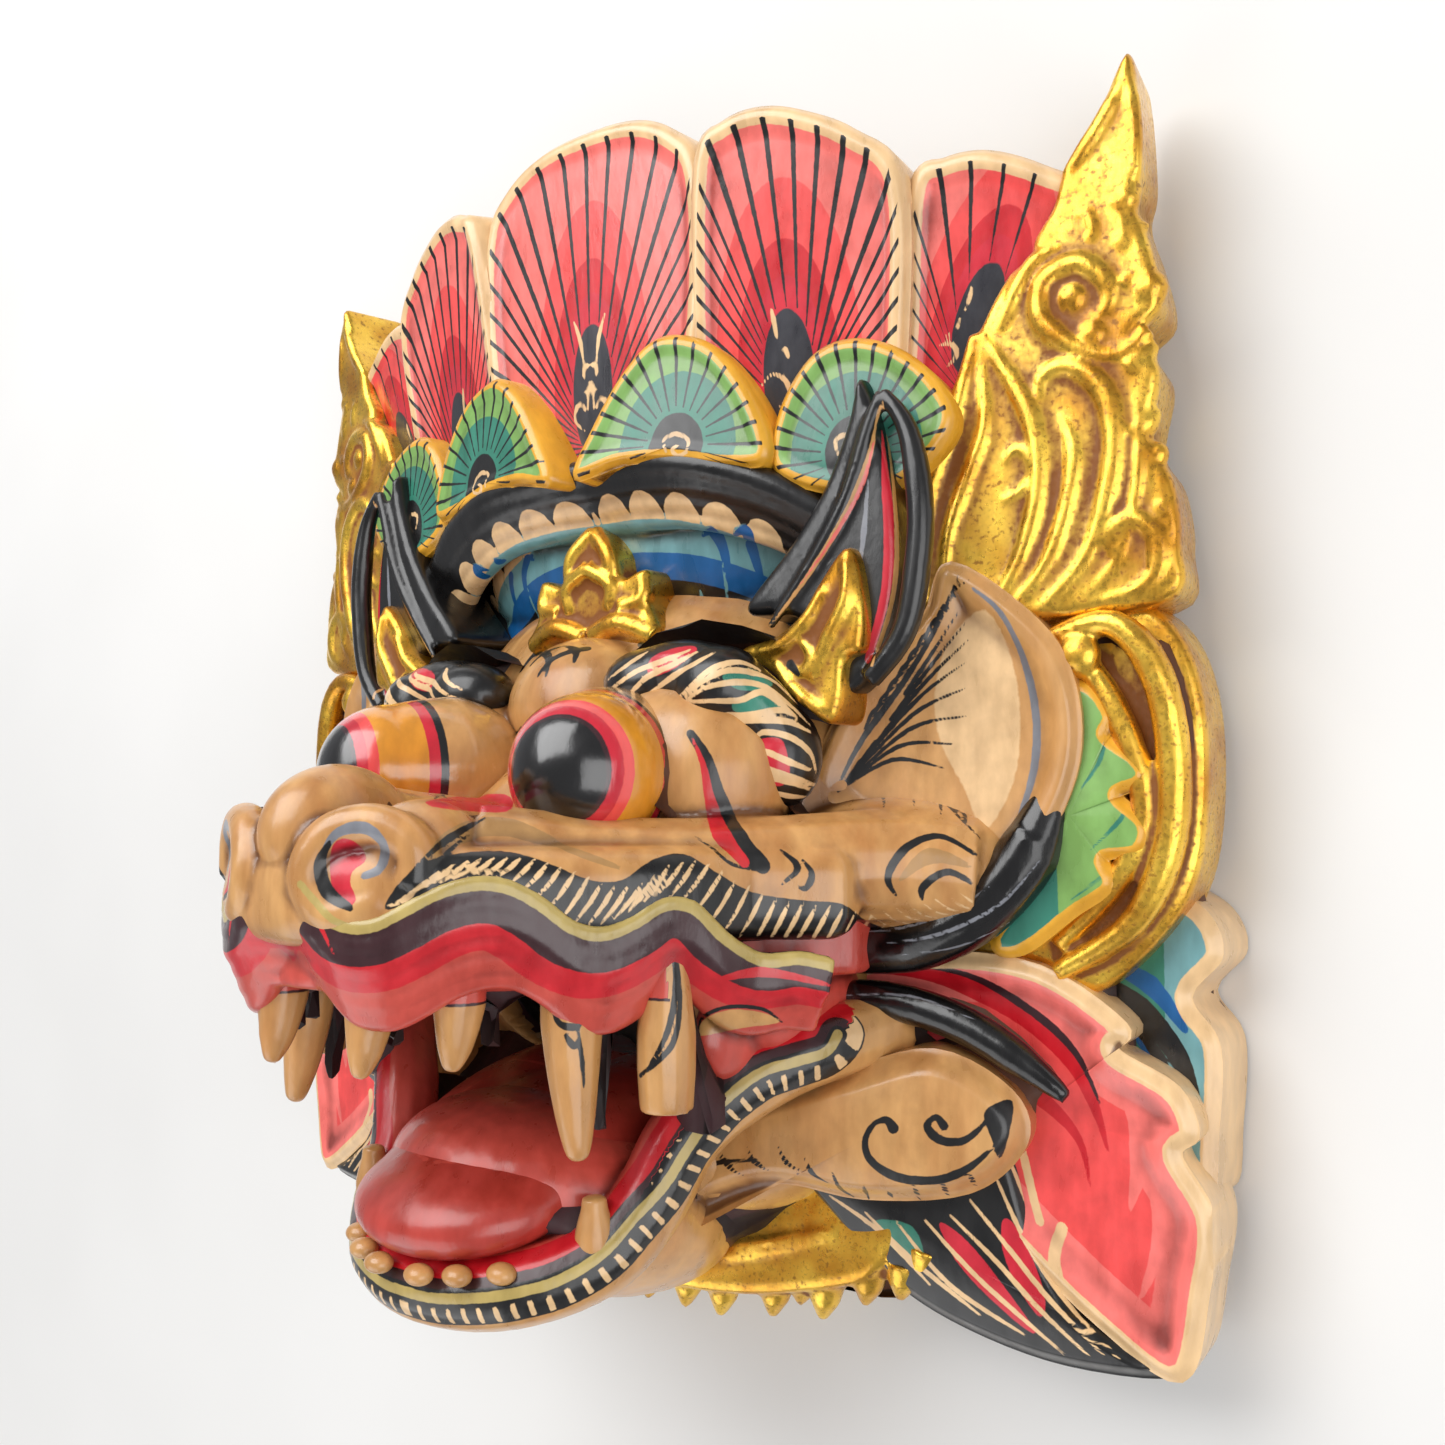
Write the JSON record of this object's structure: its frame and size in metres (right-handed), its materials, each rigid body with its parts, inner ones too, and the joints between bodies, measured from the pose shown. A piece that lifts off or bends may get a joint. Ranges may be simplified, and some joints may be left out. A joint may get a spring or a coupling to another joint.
{
  "type": "barong mask",
  "caption": "Carved and painted wooden beast mask with bulging eyes, fanged open mouth, petal crown and gilded wings, hollow at the back and lying on its flat back.",
  "frame": {"origin": "middle of the flat back, on the surface that the mask lies on", "axes": "+Z is the way the face looks, +Y points to the crown's top, +X is the right of someone looking at the face"},
  "size_m": [0.3984, 0.4098, 0.2027],
  "materials": {
    "painted_wood": "painted and varnished wood with gold leaf"
  },
  "bodies": {
    "root": {"carved_mask": "painted_wood"}
  },
  "joints": []
}
